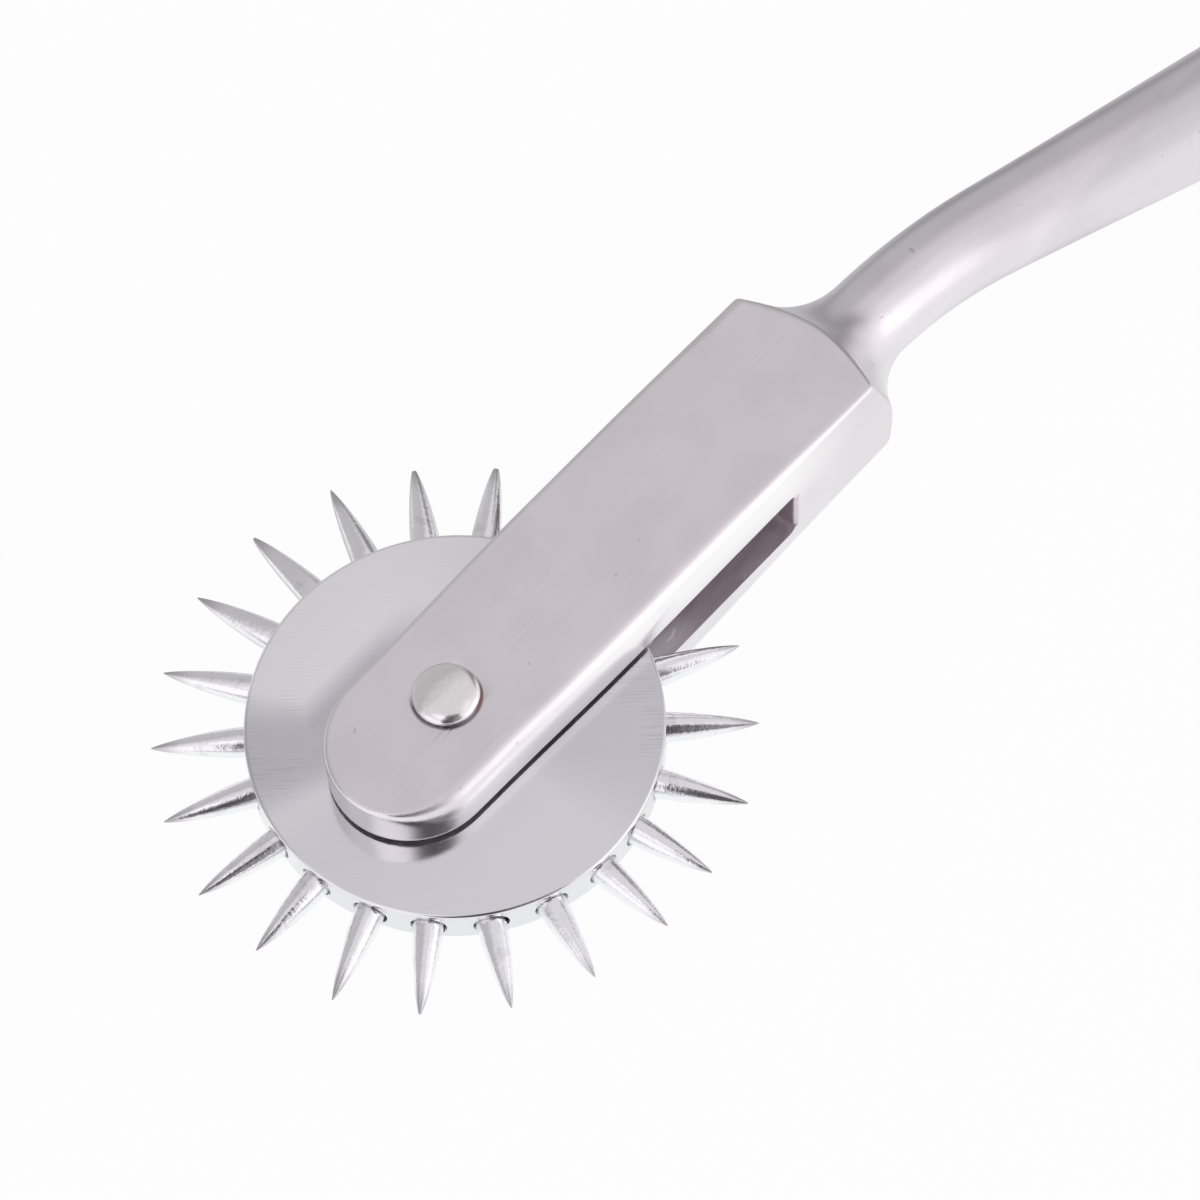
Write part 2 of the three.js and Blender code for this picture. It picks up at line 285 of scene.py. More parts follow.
def new_object(name, data):
    """An object of this data, linked to the scene."""
    obj = bpy.data.objects.new(name, data)
    bpy.context.scene.collection.objects.link(obj)
    return obj


def mesh_object(name, bm, materials):
    """An object of a finished bmesh, which is freed."""
    mesh = bpy.data.meshes.new(name)
    bm.to_mesh(mesh)
    bm.free()
    for material in materials:
        mesh.materials.append(material)
    return new_object(name, mesh)


def carved(body, cutter, materials, edge_round):
    """The body less the cutter's solids. Cut faces get the second material, and the edges
    where they meet the skin are rounded."""
    for face in cutter.faces:
        face.material_index = 1
    objects = [mesh_object("body", body, materials), mesh_object("cutter", cutter, materials)]
    cut = objects[0].modifiers.new("cut", "BOOLEAN")
    cut.operation = "DIFFERENCE"
    cut.solver = "EXACT"
    cut.use_self = True
    cut.object = objects[1]
    result = bmesh.new()
    result.from_object(objects[0], bpy.context.evaluated_depsgraph_get())
    for obj in objects:
        mesh = obj.data
        bpy.data.objects.remove(obj)
        bpy.data.meshes.remove(mesh)
    bmesh.ops.remove_doubles(result, verts=result.verts, dist=1e-7)
    mixed = [e for e in result.edges if len({f.material_index for f in e.link_faces}) == 2]
    bmesh.ops.bevel(result, geom=mixed, offset=edge_round, offset_type="OFFSET",
                    affect="EDGES", segments=2, profile=0.5, material=-1, clamp_overlap=True)
    return result


def add_piece(name, bm, body, materials, nodes, sharp_angle=40):
    """Makes a finished piece of a bmesh, in its place, in the stead of the solids it covers."""
    centre = WHEEL_CENTRE if body == "wheel" else FORK_CENTRE
    bmesh.ops.transform(bm, matrix=Matrix.Translation(centre), verts=bm.verts)
    for face in bm.faces:
        face.smooth = True
    piece = mesh_object(name, bm, materials)
    piece.data.set_sharp_from_angle(angle=math.radians(sharp_angle))
    weighted = piece.modifiers.new("even_normals", "WEIGHTED_NORMAL")
    weighted.keep_sharp = True
    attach(piece, body)
    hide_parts(*nodes)


# Materials

class Shader:
    """A node material in the making: add() makes a node, fills its sockets and links them."""

    def __init__(self, name):
        self.material = bpy.data.materials.new(name)
        self.material.use_nodes = True
        self.tree = self.material.node_tree
        self.tree.nodes.clear()
        self.output = self.tree.nodes.new("ShaderNodeOutputMaterial")
        self.place = self.add("ShaderNodeTexCoord").outputs["Object"]

    def add(self, kind, settings=None, **sockets):
        made = self.tree.nodes.new(kind)
        for key, value in (settings or {}).items():
            setattr(made, key, value)
        for key, value in sockets.items():
            self.put(made.inputs[key.replace("_", " ")], value)
        return made

    def put(self, socket, value):
        if isinstance(value, bpy.types.NodeSocket):
            self.tree.links.new(value, socket)
        else:
            socket.default_value = value

    def math(self, operation, *values):
        made = self.tree.nodes.new("ShaderNodeMath")
        made.operation = operation
        for socket, value in zip(made.inputs, values):
            self.put(socket, value)
        return made.outputs[0]

    def vector(self, operation, *values):
        made = self.tree.nodes.new("ShaderNodeVectorMath")
        made.operation = operation
        for socket, value in zip(made.inputs, values):
            self.put(socket, value)
        return made

    def ramp(self, value, low, high):
        """value brought from the range low to high to the range 0 to 1, with soft ends."""
        made = self.add("ShaderNodeMapRange", {"interpolation_type": "SMOOTHSTEP"}, Value=value)
        made.inputs["From Min"].default_value = low
        made.inputs["From Max"].default_value = high
        return made.outputs["Result"]

    def mix(self, factor, first, second):
        made = self.tree.nodes.new("ShaderNodeMix")
        made.data_type = "RGBA"
        colour_sockets = [s for s in made.inputs if s.type == "RGBA"]
        self.put(made.inputs["Factor"], factor)
        self.put(colour_sockets[0], first)
        self.put(colour_sockets[1], second)
        return [s for s in made.outputs if s.type == "RGBA"][0]

    def over(self, colour, cover, place, share):
        """colour with so large a share of the cover laid over it, where place is 1."""
        return self.mix(self.math("MULTIPLY", place, share), colour, cover)

    def noise(self, scale, detail=3, stretch=(1, 1, 1), turn=0, roughness=0.5):
        """Noise of scale times stretch spots per metre along X, Y and Z, turned about Z."""
        placed = self.add("ShaderNodeMapping", {"vector_type": "TEXTURE"}, Vector=self.place)
        placed.inputs["Rotation"].default_value = (0, 0, math.radians(turn))
        placed.inputs["Scale"].default_value = [1 / times for times in stretch]
        made = self.add("ShaderNodeTexNoise", Vector=placed.outputs["Vector"],
                        Scale=scale, Detail=detail, Roughness=roughness)
        return made.outputs["Fac"]

    def from_centre(self):
        """The way from the wheel's centre, as X, Y and Z."""
        way = self.vector("SUBTRACT", self.place, WHEEL_CENTRE).outputs[0]
        return self.add("ShaderNodeSeparateXYZ", Vector=way).outputs

    def flat_offset(self, centre):
        """The way from an upright line through centre, along the wheel's plane."""
        offset = self.vector("SUBTRACT", self.place, centre).outputs[0]
        return self.vector("MULTIPLY", offset, Vector((1, 1, 0))).outputs[0]

    def distance(self, centre):
        return self.vector("LENGTH", self.flat_offset(centre)).outputs["Value"]

    def towards(self, angle, centre=WHEEL_CENTRE):
        """1 for what lies towards this angle from the centre, -1 for the opposite side."""
        unit = self.vector("NORMALIZE", self.flat_offset(centre)).outputs[0]
        aim = Vector((math.cos(math.radians(angle)), math.sin(math.radians(angle)), 0))
        return self.vector("DOT_PRODUCT", unit, aim).outputs["Value"]

    def metal(self, colour, roughness, height, depth):
        """Ends the material as bare metal. Where height is 1, bumps stand up by the depth."""
        bump = self.add("ShaderNodeBump", Height=height, Strength=1.0, Distance=depth)
        shader = self.add("ShaderNodeBsdfPrincipled", Base_Color=colour, Metallic=1.0,
                          Roughness=roughness, Normal=bump.outputs["Normal"])
        self.put(self.output.inputs["Surface"], shader.outputs["BSDF"])
        return self.material


def grey(level, tint=(0, 0, 0)):
    return (level + tint[0], level + tint[1], level + tint[2], 1)


def satin_steel(name, turn, is_fork):
    """Satin steel with long polishing lines, a few pits and cloudy spots."""
    s = Shader(name)
    clouds = s.noise(140, 2)
    lines = s.noise(1, 3, (260, 9000, 9000), turn)
    scratches = s.ramp(s.noise(1, 1, (110, 5200, 5200), turn + 2), 0.70, 0.74)
    pits = s.ramp(s.noise(1700, 1), 0.775, 0.80)
    mottling = s.ramp(s.noise(300, 2), 0.4, 0.68)
    colour = s.mix(clouds, grey(0.78, MAUVE), grey(0.88, MAUVE))
    colour = s.over(colour, grey(0.70, MAUVE), lines, 0.16)
    colour = s.over(colour, grey(0.38, MAUVE), pits, 0.35)
    colour = s.over(colour, grey(0.95), scratches, 0.3)
    colour = s.over(colour, grey(0.7, MAUVE), mottling, 0.3)
    rough = s.math("MULTIPLY_ADD", lines, 0.14, 0.22)
    rough = s.math("MULTIPLY_ADD", clouds, 0.06, rough)
    if is_fork:
        # On the fork: painted shade round the rivet's head, painted light and shade on the right
        # flank
        colour = flank_painted_light(s, shaded_and_rusted(s, colour))
        ear = WHEEL_CENTRE + Vector((EAR_CENTRE, 0, 0))
        wall = s.math("MULTIPLY", s.ramp(s.distance(ear), *EAR_WALL),
                      s.ramp(s.towards(EAR_WALL_SIDE, ear), 0.0, 0.4))
        rough = s.math("MULTIPLY_ADD", wall, -0.13, rough)
    height = s.math("MULTIPLY_ADD", scratches, -0.7, lines)
    height = s.math("MULTIPLY_ADD", pits, -1.5, height)
    return s.metal(colour, rough, height, 0.0000035)


def shaded_and_rusted(s, colour):
    """Painted shade in a crevice ring round the rivet's head, with a little real rust on one
    side.
    """
    head = WHEEL_CENTRE + HEAD_SHIFT
    reach = s.distance(head)
    # ring is the painted crevice shade, kept to one side of the head
    ring = s.math("MULTIPLY", s.ramp(reach, *CREVICE_SHADE_INSIDE), s.ramp(reach, *CREVICE_SHADE_OUTSIDE))
    ring = s.math("MULTIPLY", ring, s.ramp(s.towards(CREVICE_SHADE_SIDE, head), -0.5, 0.1))
    rusty = s.math("MULTIPLY", ring, s.ramp(s.towards(RUST_SIDE, head), 0.7, 0.98))
    colour = s.over(colour, grey(0.12, MAUVE), ring, 0.85)
    return s.over(colour, RUST, rusty, 0.6)


def flank_painted_light(s, colour):
    """Painted light on the fork's right flank above the slot, and painted shade on it by the
    shoulder.
    """
    away = s.from_centre()
    # flank is the mask of the painted light, shoulder that of the painted shade
    flank = s.ramp(away["Y"], *LIT_FLANK_ACROSS)
    shoulder = s.math("MULTIPLY", flank, s.ramp(away["X"], *SHADED_SHOULDER))
    flank = s.math("MULTIPLY", s.math("SUBTRACT", flank, shoulder), s.ramp(away["Z"], *LIT_FLANK_UP))
    colour = s.over(colour, grey(0.98), flank, 0.9)
    return s.over(colour, grey(0.66), shoulder, 0.4)


def milled_steel():
    """The slot's inside: dull, darker, with cutter marks along it and bright nicks."""
    s = Shader("milled_steel")
    marks = s.noise(1, 3, (600, 3000, 7000), 8)
    nicks = s.ramp(s.noise(1, 2, (900, 2600, 2600), 20), 0.66, 0.72)
    colour = s.mix(marks, grey(0.56, SLOT_TINT), grey(0.76, SLOT_TINT))
    colour = s.over(colour, grey(0.95), nicks, 0.7)
    rough = s.math("MULTIPLY_ADD", marks, 0.2, 0.35)
    return s.metal(colour, rough, marks, 0.00001)


def polished_steel():
    """The disc: nearly a mirror, with fine straight marks at its edge, painted dark reflections
    in two sectors, a painted bright sheen on one side and painted shade beside the fork.
    """
    s = Shader("polished_steel")
    clouds = s.noise(110, 2)
    marks = s.ramp(s.noise(1, 0, (420, 16000, 420), DISC_MARKS_TURN), 0.5, 0.75)
    patches = s.ramp(s.noise(330, 2), 0.38, 0.6)
    sides = s.ramp(s.math("ABSOLUTE", s.towards(DISC_MARKS_SIDE)), 0.92, 0.985)
    worn = s.math("MULTIPLY", patches, sides)
    worn = s.math("MULTIPLY", worn, s.ramp(s.distance(WHEEL_CENTRE), *DISC_MARKS))
    worn = s.math("MULTIPLY", marks, worn)
    # A band of painted shade beside the fork, and painted dark reflections in two sectors
    away = s.from_centre()
    off_middle = s.math("ABSOLUTE", s.math("SUBTRACT", away["Y"], SHADE_BAND_MIDDLE))
    shade_band = s.math("MULTIPLY", s.ramp(away["X"], *SHADE_BAND_START),
                  s.ramp(away["X"], *SHADE_BAND_END))
    shade_band = s.math("MULTIPLY", shade_band, s.ramp(off_middle, *SHADE_BAND_EDGE))
    far_dark_sheen = s.math("MULTIPLY", s.ramp(s.towards(FAR_DARK_SHEEN_SIDE), 0.7, 1.0), 0.6)
    dark_sheen = s.math("MAXIMUM", s.ramp(s.towards(DARK_SHEEN_SIDE), 0.93, 1.0), far_dark_sheen)
    # dull is how far the painted dark reflections and the painted shade darken the disc
    dull = s.math("MAXIMUM", s.math("MULTIPLY", dark_sheen, 0.75), s.math("MULTIPLY", shade_band, 0.8))
    colour = s.mix(clouds, grey(0.78, COOL), grey(0.83, COOL))
    # A painted bright sheen on one side, and the painted dark reflections and shade laid over it
    colour = s.over(colour, grey(0.98, COOL), s.ramp(s.towards(BRIGHT_SHEEN_SIDE), 0.1, 0.95), 0.85)
    colour = s.mix(dull, colour, grey(0.54, COOL))
    colour = s.over(colour, grey(0.45, COOL), worn, 0.34)
    rough = s.math("MULTIPLY_ADD", worn, 0.18, 0.11)
    return s.metal(colour, rough, marks, 0.0000006)


def bored_steel():
    """The drilled holes in the wheel's rim."""
    s = Shader("bored_steel")
    rings = s.noise(2600, 3)
    colour = s.mix(rings, grey(0.5), grey(0.8))
    return s.metal(colour, 0.22, rings, 0.000008)


def pin_steel():
    """Bright pins, ground lengthwise, darker and duller towards their points."""
    s = Shader("pin_steel")
    grinding = s.noise(2100, 4, roughness=0.7)
    streaks = s.ramp(s.noise(900, 3), 0.6, 0.68)
    tip = s.ramp(s.distance(WHEEL_CENTRE), *PIN_TIP_ZONE)
    colour = s.mix(grinding, grey(0.88, COOL), grey(0.96, COOL))
    colour = s.over(colour, grey(0.38, MAUVE), tip, 0.7)
    colour = s.over(colour, grey(0.45), streaks, 0.2)
    rough = s.math("MULTIPLY_ADD", tip, 0.16, 0.10)
    return s.metal(colour, rough, grinding, 0.00003)


def rivet_steel():
    """The rivet: bright, a little warm, with hammer marks."""
    s = Shader("rivet_steel")
    dents = s.noise(900, 2)
    fine = s.noise(5200, 3)
    colour = s.mix(fine, grey(0.83, WARM), grey(0.92, WARM))
    rough = s.math("MULTIPLY_ADD", fine, 0.12, 0.12)
    height = s.math("MULTIPLY_ADD", fine, 0.15, dents)
    return s.metal(colour, rough, height, 0.00003)


def turned_steel():
    """Washers: plain turned steel with rings round the axle."""
    s = Shader("turned_steel")
    rings = s.math("SINE", s.math("MULTIPLY", s.distance(WHEEL_CENTRE), WASHER_RINGS))
    rings = s.math("MULTIPLY_ADD", rings, 0.5, 0.5)
    spots = s.noise(2400, 2)
    colour = s.mix(spots, grey(0.5), grey(0.62))
    return s.metal(colour, 0.3, rings, 0.000004)


# Fork

def bar_reach(direction, edge):
    """How far the milled bar's surface lies from its axis in one direction across it. edge is
    the width and the height of the corner's rounding."""
    side = max(abs(direction.y), 1e-9)
    up = max(abs(direction.z), 1e-9)
    width, height = edge
    flat = min(FORK_WIDTH / 2 / side, FORK_HEIGHT / 2 / up)
    corner = Vector((FORK_WIDTH / 2 - width, FORK_HEIGHT / 2 - height))
    if flat * side <= corner.x or flat * up <= corner.y:
        return flat
    slant = (side / width) ** 2 + (up / height) ** 2
    along = side * corner.x / width ** 2 + up * corner.y / height ** 2
    rest = (corner.x / width) ** 2 + (corner.y / height) ** 2 - 1
    return (along + math.sqrt(along ** 2 - slant * rest)) / slant


def long_edge(place, direction):
    """The long edges' rounding. Polishing has made one upper edge wide and soft and has rounded
    the edge below it by the shoulder, and wear has opened the other upper edge there."""
    if direction.z <= 0 and direction.y >= 0:
        return LONG_EDGE, LONG_EDGE
    if direction.z <= 0:
        edge = LONG_EDGE + (LOW_EDGE - LONG_EDGE) * smooth_step(LOW_EDGE_FROM, BLOCK_END, place)
        return edge, edge
    if direction.y <= 0:
        return soft_edge(1 - SOFT_EDGE_LOSS * smooth_step(SOFT_EDGE_FROM, BLOCK_END, place))
    edge = LONG_EDGE + (WORN_EDGE - LONG_EDGE) * smooth_step(WORN_FROM, BLOCK_END, place)
    return edge, edge


def soft_edge(share):
    """The rounding on its way from the plain edge, 0, to the wide and soft one, 1."""
    return (LONG_EDGE + (SOFT_EDGE_WIDTH - LONG_EDGE) * share,
            LONG_EDGE + (SOFT_EDGE_HEIGHT - LONG_EDGE) * math.sqrt(share))


def blank_outline():
    """The turned blank as (distance along the axis, radius), from the ear to the seam."""
    sweep = math.radians(FLARE_SWEEP)
    corner = math.hypot(FORK_WIDTH, FORK_HEIGHT) / 2
    fillet_radius = NECK_RADIUS + FLARE_RADIUS * (1 - math.cos(sweep))
    fillet_end = BLOCK_END + (corner - fillet_radius) / math.tan(sweep)
    fillet_start = fillet_end + FLARE_RADIUS * math.sin(sweep)

    def flare(place):
        return fillet_radius + (fillet_end - place) * math.tan(sweep)

    places = steps_between(EAR_CENTRE, WORN_FROM, PLAIN_STEPS)
    places += steps_between(WORN_FROM, FLARE_LEAN_FROM, WORN_STEPS)
    places += steps_between(FLARE_LEAN_FROM, fillet_end, SHOULDER_STEPS)
    outline = [(place, flare(place)) for place in places]
    for i in range(1, FILLET_STEPS + 1):
        turn = sweep * (1 - i / FILLET_STEPS)
        outline.append((fillet_start - FLARE_RADIUS * math.sin(turn),
                        NECK_RADIUS + FLARE_RADIUS * (1 - math.cos(turn))))
    return outline + [(p.y, p.x) for p in swell_curve() if fillet_start < p.y < seam().y]


def eased_curve(radii, start, length, ease, points):
    """A passage from one radius to another, as (radius, distance) points. ease is how far it
    runs on nearly level at both ends, as shares of its length."""
    end = start + length
    return geometry.interpolate_bezier(
        Vector((radii[0], start)),
        Vector((radii[0], start + ease[0] * length)),
        Vector((radii[1], end - ease[1] * length)),
        Vector((radii[1], end)),
        points,
    )


def swell_curve():
    """The handle's swelling from neck to grip."""
    return eased_curve((NECK_RADIUS, GRIP_RADIUS), NECK_START, SWELL_LENGTH, SWELL_EASE,
                       SWELL_POINTS)


def taper_curve():
    """The grip's taper to the tail."""
    return eased_curve((GRIP_RADIUS, TAIL_RADIUS), NECK_START + SWELL_LENGTH, TAPER_LENGTH,
                       TAPER_EASE, TAPER_POINTS)


def seam():
    """Where the neck ends and the handle's shell starts."""
    return swell_curve()[SEAM_POINT]


def leaned(co):
    """The shoulder's flare leans a little towards one upper edge of the block."""
    reach = math.hypot(co.y, co.z)
    corner = math.hypot(FORK_WIDTH, FORK_HEIGHT) / 2
    share = min(max((reach - NECK_RADIUS) / (corner - NECK_RADIUS), 0), 1) ** FLARE_LEAN_POWER
    share *= smooth_step(FLARE_LEAN_FROM, BLOCK_END, co.x)
    slope = (co.z * math.tan(math.radians(FLARE_LEAN_UP))
             + co.y * math.tan(math.radians(FLARE_LEAN_SIDE)))
    return Vector((co.x - slope * share, co.y, co.z))


def filed(co):
    """The ear's sides are filed in a little towards its round end."""
    share = 1 - smooth_step(EAR_CENTRE, EAR_FILED_FROM, co.x)
    return Vector((co.x, co.y * (1 - EAR_FILED_OFF * share / (FORK_WIDTH / 2)), co.z))


def ear_softened(co):
    """Round the ear's end, its upper edge grows into the soft long edge on the right side."""
    out = Vector((co.x - EAR_CENTRE, co.y, 0))
    if co.z <= 0 or co.y >= 0 or out.length < FORK_WIDTH / 4:
        return co
    share = max((-co.y / out.length - SOFT_EDGE_START) / (1 - SOFT_EDGE_START), 0) ** 2
    direction = Vector((0, out.length, co.z)).normalized()
    reach = bar_reach(direction, soft_edge(share))
    moved = out.normalized() * direction.y * reach
    return Vector((EAR_CENTRE + moved.x, moved.y, direction.z * reach))


def bent(co):
    """Bends what lies past the bend's start round an arc, and runs straight after it."""
    along = co.x - BEND_START
    if along <= 0:
        return co
    turn = min(along / BEND_RADIUS, math.radians(BEND_SWEEP))
    rest = along - turn * BEND_RADIUS
    reach = BEND_RADIUS + co.y
    return Vector((
        BEND_START + reach * math.sin(turn) + rest * math.cos(turn),
        reach * math.cos(turn) - BEND_RADIUS - rest * math.sin(turn),
        co.z,
    ))


def grown_on(bm, rim):
    """Extrudes the open rim and returns the new rim and its vertices."""
    grown = bmesh.ops.extrude_edge_only(bm, edges=rim)["geom"]
    return ([g for g in grown if isinstance(g, bmesh.types.BMEdge)],
            [g for g in grown if isinstance(g, bmesh.types.BMVert)])


def fork_skin():
    """The fork head's outside: a round-ended bar that runs by a shoulder into the neck."""
    bm = bmesh.new()
    half_ring = []
    for i in range(-RING_POINTS // 4, RING_POINTS // 4 + 1):
        even = math.tau * i / RING_POINTS
        angle = even + CORNER_CROWDING * math.sin(4 * even) / 4
        direction = Vector((0, math.cos(angle), math.sin(angle)))
        half_ring.append(bm.verts.new(direction * bar_reach(direction, soft_edge(0))))
    line = [bm.edges.new(pair) for pair in zip(half_ring, half_ring[1:])]
    bmesh.ops.translate(bm, verts=half_ring, vec=(EAR_CENTRE, 0, 0))
    bmesh.ops.spin(bm, geom=half_ring + line, cent=(EAR_CENTRE, 0, 0), axis=(0, 0, 1),
                   dvec=(0, 0, 0), angle=math.pi, steps=EAR_STEPS)
    bmesh.ops.remove_doubles(bm, verts=bm.verts, dist=1e-7)
    for vert in bm.verts:
        vert.co = ear_softened(vert.co)
    rim = [e for e in bm.edges if e.is_boundary]
    for place, blank_radius in blank_outline():
        rim, verts = grown_on(bm, rim)
        for vert in verts:
            direction = Vector((0, vert.co.y, vert.co.z)).normalized()
            bar = bar_reach(direction, long_edge(place, direction))
            vert.co = direction * soft_minimum(bar, blank_radius, SHOULDER_EDGE)
            vert.co.x = place
    end = seam()
    bore = end.x - SHELL_WALL - SEAM_GAP
    spigot = [(end.y - SEAM_EDGE, end.x), (end.y - EDGE_MIDDLE, end.x - EDGE_MIDDLE),
              (end.y, end.x - SEAM_EDGE), (end.y, bore), (end.y + SPIGOT_LENGTH, bore)]
    for place, radius in spigot:
        rim, verts = grown_on(bm, rim)
        for vert in verts:
            vert.co = Vector((0, vert.co.y, vert.co.z)).normalized() * radius
            vert.co.x = place
    bmesh.ops.edgeloop_fill(bm, edges=rim)
    for vert in bm.verts:
        vert.co = bent(filed(leaned(vert.co)))
    bmesh.ops.recalc_face_normals(bm, faces=bm.faces)
    return bm


def fork_cutters():
    """The slot's cutter and the rivet's drill. The slot's blind end has rounded corners, and
    small turned cubes round its mouths on the fork's two sides."""
    bm = bmesh.new()
    start = EAR_CENTRE - FORK_WIDTH
    box = bmesh.ops.create_cube(bm, size=1)["verts"]
    bmesh.ops.scale(bm, verts=box, vec=(SLOT_END - start, FORK_WIDTH + 2 * OVERRUN, SLOT_HEIGHT))
    bmesh.ops.translate(bm, verts=box, vec=((SLOT_END + start) / 2, 0, 0))
    corners = [e for e in bm.edges
               if all(v.co.x > 0 for v in e.verts) and e.verts[0].co.z == e.verts[1].co.z]
    bmesh.ops.bevel(bm, geom=corners, offset=SLOT_CORNER, offset_type="OFFSET",
                    affect="EDGES", segments=6, profile=0.5, material=-1)
    facet_height = (SLOT_HEIGHT - 2 * MOUTH_INSET) / FACET_CUTTER
    facet_reach = MOUTH_ROUND + FACET_CUTTER / 2
    for side in (-1, 1):
        middle = Vector((SLOT_END + MOUTH_ROUND, side * (FORK_WIDTH / 2 - MOUTH_ROUND), 0))
        for i in range(1, 4):
            turn = math.radians(22.5 * i)
            outward = Vector((-math.cos(turn), side * math.sin(turn), 0))
            plane = bmesh.ops.create_cube(bm, size=FACET_CUTTER)["verts"]
            bmesh.ops.scale(bm, verts=plane, vec=(1, 1, facet_height))
            bmesh.ops.rotate(bm, verts=plane, matrix=Matrix.Rotation(-side * turn, 3, "Z"))
            bmesh.ops.translate(bm, verts=plane, vec=middle + outward * facet_reach)
    bmesh.ops.translate(bm, verts=bm.verts, vec=(0, 0, -SLOT_DROP))
    bmesh.ops.create_cone(bm, cap_ends=True, segments=RIVET_SIDES, radius1=RIVET_BORE,
                          radius2=RIVET_BORE, depth=FORK_HEIGHT + OVERRUN)
    bmesh.ops.recalc_face_normals(bm, faces=bm.faces)
    return bm


def make_fork(satin, milled):
    """The fork head and neck, satin outside and milled inside the slot."""
    fork = carved(fork_skin(), fork_cutters(), [satin, milled], SLOT_EDGE)
    add_piece("fork_and_neck", fork, "handle", [satin, milled], ["fork_head"])


# Handle

def handle_place():
    """Puts what is turned about Z, at its distance along the handle, on the bent handle."""
    sweep = math.radians(BEND_SWEEP)
    bend_end = BEND_START + BEND_RADIUS * sweep
    start = Vector((BEND_START + BEND_RADIUS * math.sin(sweep),
                    BEND_RADIUS * (math.cos(sweep) - 1), 0))
    along_x = Matrix.Rotation(math.radians(90), 4, "Y")
    return (Matrix.Translation(start) @ Matrix.Rotation(-sweep, 4, "Z")
            @ Matrix.Translation((SEAM_GAP - bend_end, 0, 0)) @ along_x)


def make_shell(satin):
    """The hollow grip, with rounded edges at its mouth and its tail."""
    outside = [(p.x, p.y) for p in swell_curve()[SEAM_POINT:] + taper_curve()[1:]]
    inside = [(radius - SHELL_WALL, place) for radius, place in reversed(outside)]
    mouth_radius, mouth = outside[0]
    tail_radius, tail = outside[-1]
    outside[0] = (mouth_radius, mouth + SEAM_EDGE)
    outside[-1] = (tail_radius, tail - SEAM_EDGE)
    mouth_round = [(mouth_radius - SEAM_EDGE, mouth),
                   (mouth_radius - EDGE_MIDDLE, mouth + EDGE_MIDDLE)]
    tail_round = [(tail_radius - EDGE_MIDDLE, tail - EDGE_MIDDLE),
                  (tail_radius - SEAM_EDGE, tail)]
    profile = mouth_round + outside + tail_round + inside
    shell = turned(profile + profile[:1], HANDLE_SIDES)
    bmesh.ops.transform(shell, matrix=handle_place(), verts=shell.verts)
    add_piece("handle_grip", shell, "handle", [satin], ["handle_shell"])


def make_plug(satin):
    """The tail plug: a stem inside the shell and a rounded end outside it."""
    face = taper_curve()[-1].y + SEAM_GAP
    stem = TAIL_RADIUS - SHELL_WALL - SEAM_GAP
    dome = []
    for i in range(DOME_STEPS + 1):
        turn = math.radians(90 * i / DOME_STEPS)
        dome.append((TAIL_RADIUS * math.cos(turn),
                     face + SEAM_EDGE + (TAIL_DOME - SEAM_EDGE) * math.sin(turn)))
    dome[-1] = (0, dome[-1][1])
    profile = [(0, face - PLUG_DEPTH), (stem, face - PLUG_DEPTH), (stem, face),
               (TAIL_RADIUS - SEAM_EDGE, face),
               (TAIL_RADIUS - EDGE_MIDDLE, face + EDGE_MIDDLE)] + dome
    plug = turned(profile, HANDLE_SIDES)
    bmesh.ops.transform(plug, matrix=handle_place(), verts=plug.verts)
    add_piece("tail_end", plug, "handle", [satin], ["tail_plug"])


# Rivet and washers

def make_rivet(steel):
    """One shank and two peened heads, each a low dome that rolls in under its own edge."""
    face = FORK_HEIGHT / 2
    widest = face + HEAD_EDGE
    head = [(RIVET_RADIUS, face), (HEAD_FOOT, face)]
    for i in range(HEAD_EDGE_STEPS + 1):
        turn = math.radians(-90 + 90 * i / HEAD_EDGE_STEPS)
        head.append((HEAD_FOOT + (HEAD_RADIUS - HEAD_FOOT) * math.cos(turn),
                     widest + HEAD_EDGE * math.sin(turn)))
    for i in range(1, HEAD_STEPS + 1):
        turn = math.radians(90 * i / HEAD_STEPS)
        head.append((HEAD_RADIUS * math.cos(turn) ** HEAD_SQUARENESS,
                     widest + (HEAD_HEIGHT - HEAD_EDGE) * math.sin(turn) ** HEAD_SQUARENESS))
    head[-1] = (0, face + HEAD_HEIGHT)
    lower = [(radius, -height) for radius, height in reversed(head)]
    rivet = turned(lower + head, RIVET_SIDES)
    for vert in rivet.verts:
        height = abs(vert.co.z)
        on_foot = height > face - SEAM_GAP and vert.co.xy.length > RIVET_BORE
        if on_foot or height > widest:
            lump = noise.noise(vert.co * LUMPS_PER_METRE) * HEAD_LUMPS
            vert.co += HEAD_SHIFT + Vector((lump, -lump, 0))
    add_piece("peened_rivet", rivet, "handle", [steel], ["axle_rivet"], 60)


def make_washers(steel):
    """The thin upper and the thick lower washer, which keep the wheel clear of the cheeks."""
    rim = WASHER_RADIUS - WASHER_EDGE
    for name, thickness, level in zip(("upper", "lower"), WASHER_THICKNESSES, WASHER_LEVELS):
        half = thickness / 2
        side = half - WASHER_EDGE
        profile = [(WASHER_BORE, -half)]
        profile += quarter_arc((rim, -side), WASHER_EDGE, -90, 3)
        profile += quarter_arc((rim, side), WASHER_EDGE, 0, 3)
        profile += [(WASHER_BORE, half), (WASHER_BORE, -half)]
        ring = turned(profile, RIVET_SIDES)
        bmesh.ops.translate(ring, verts=ring.verts, vec=(0, 0, level))
        add_piece(f"{name}_spacer", ring, "handle", [steel], [f"washer_{name}"])


# Wheel

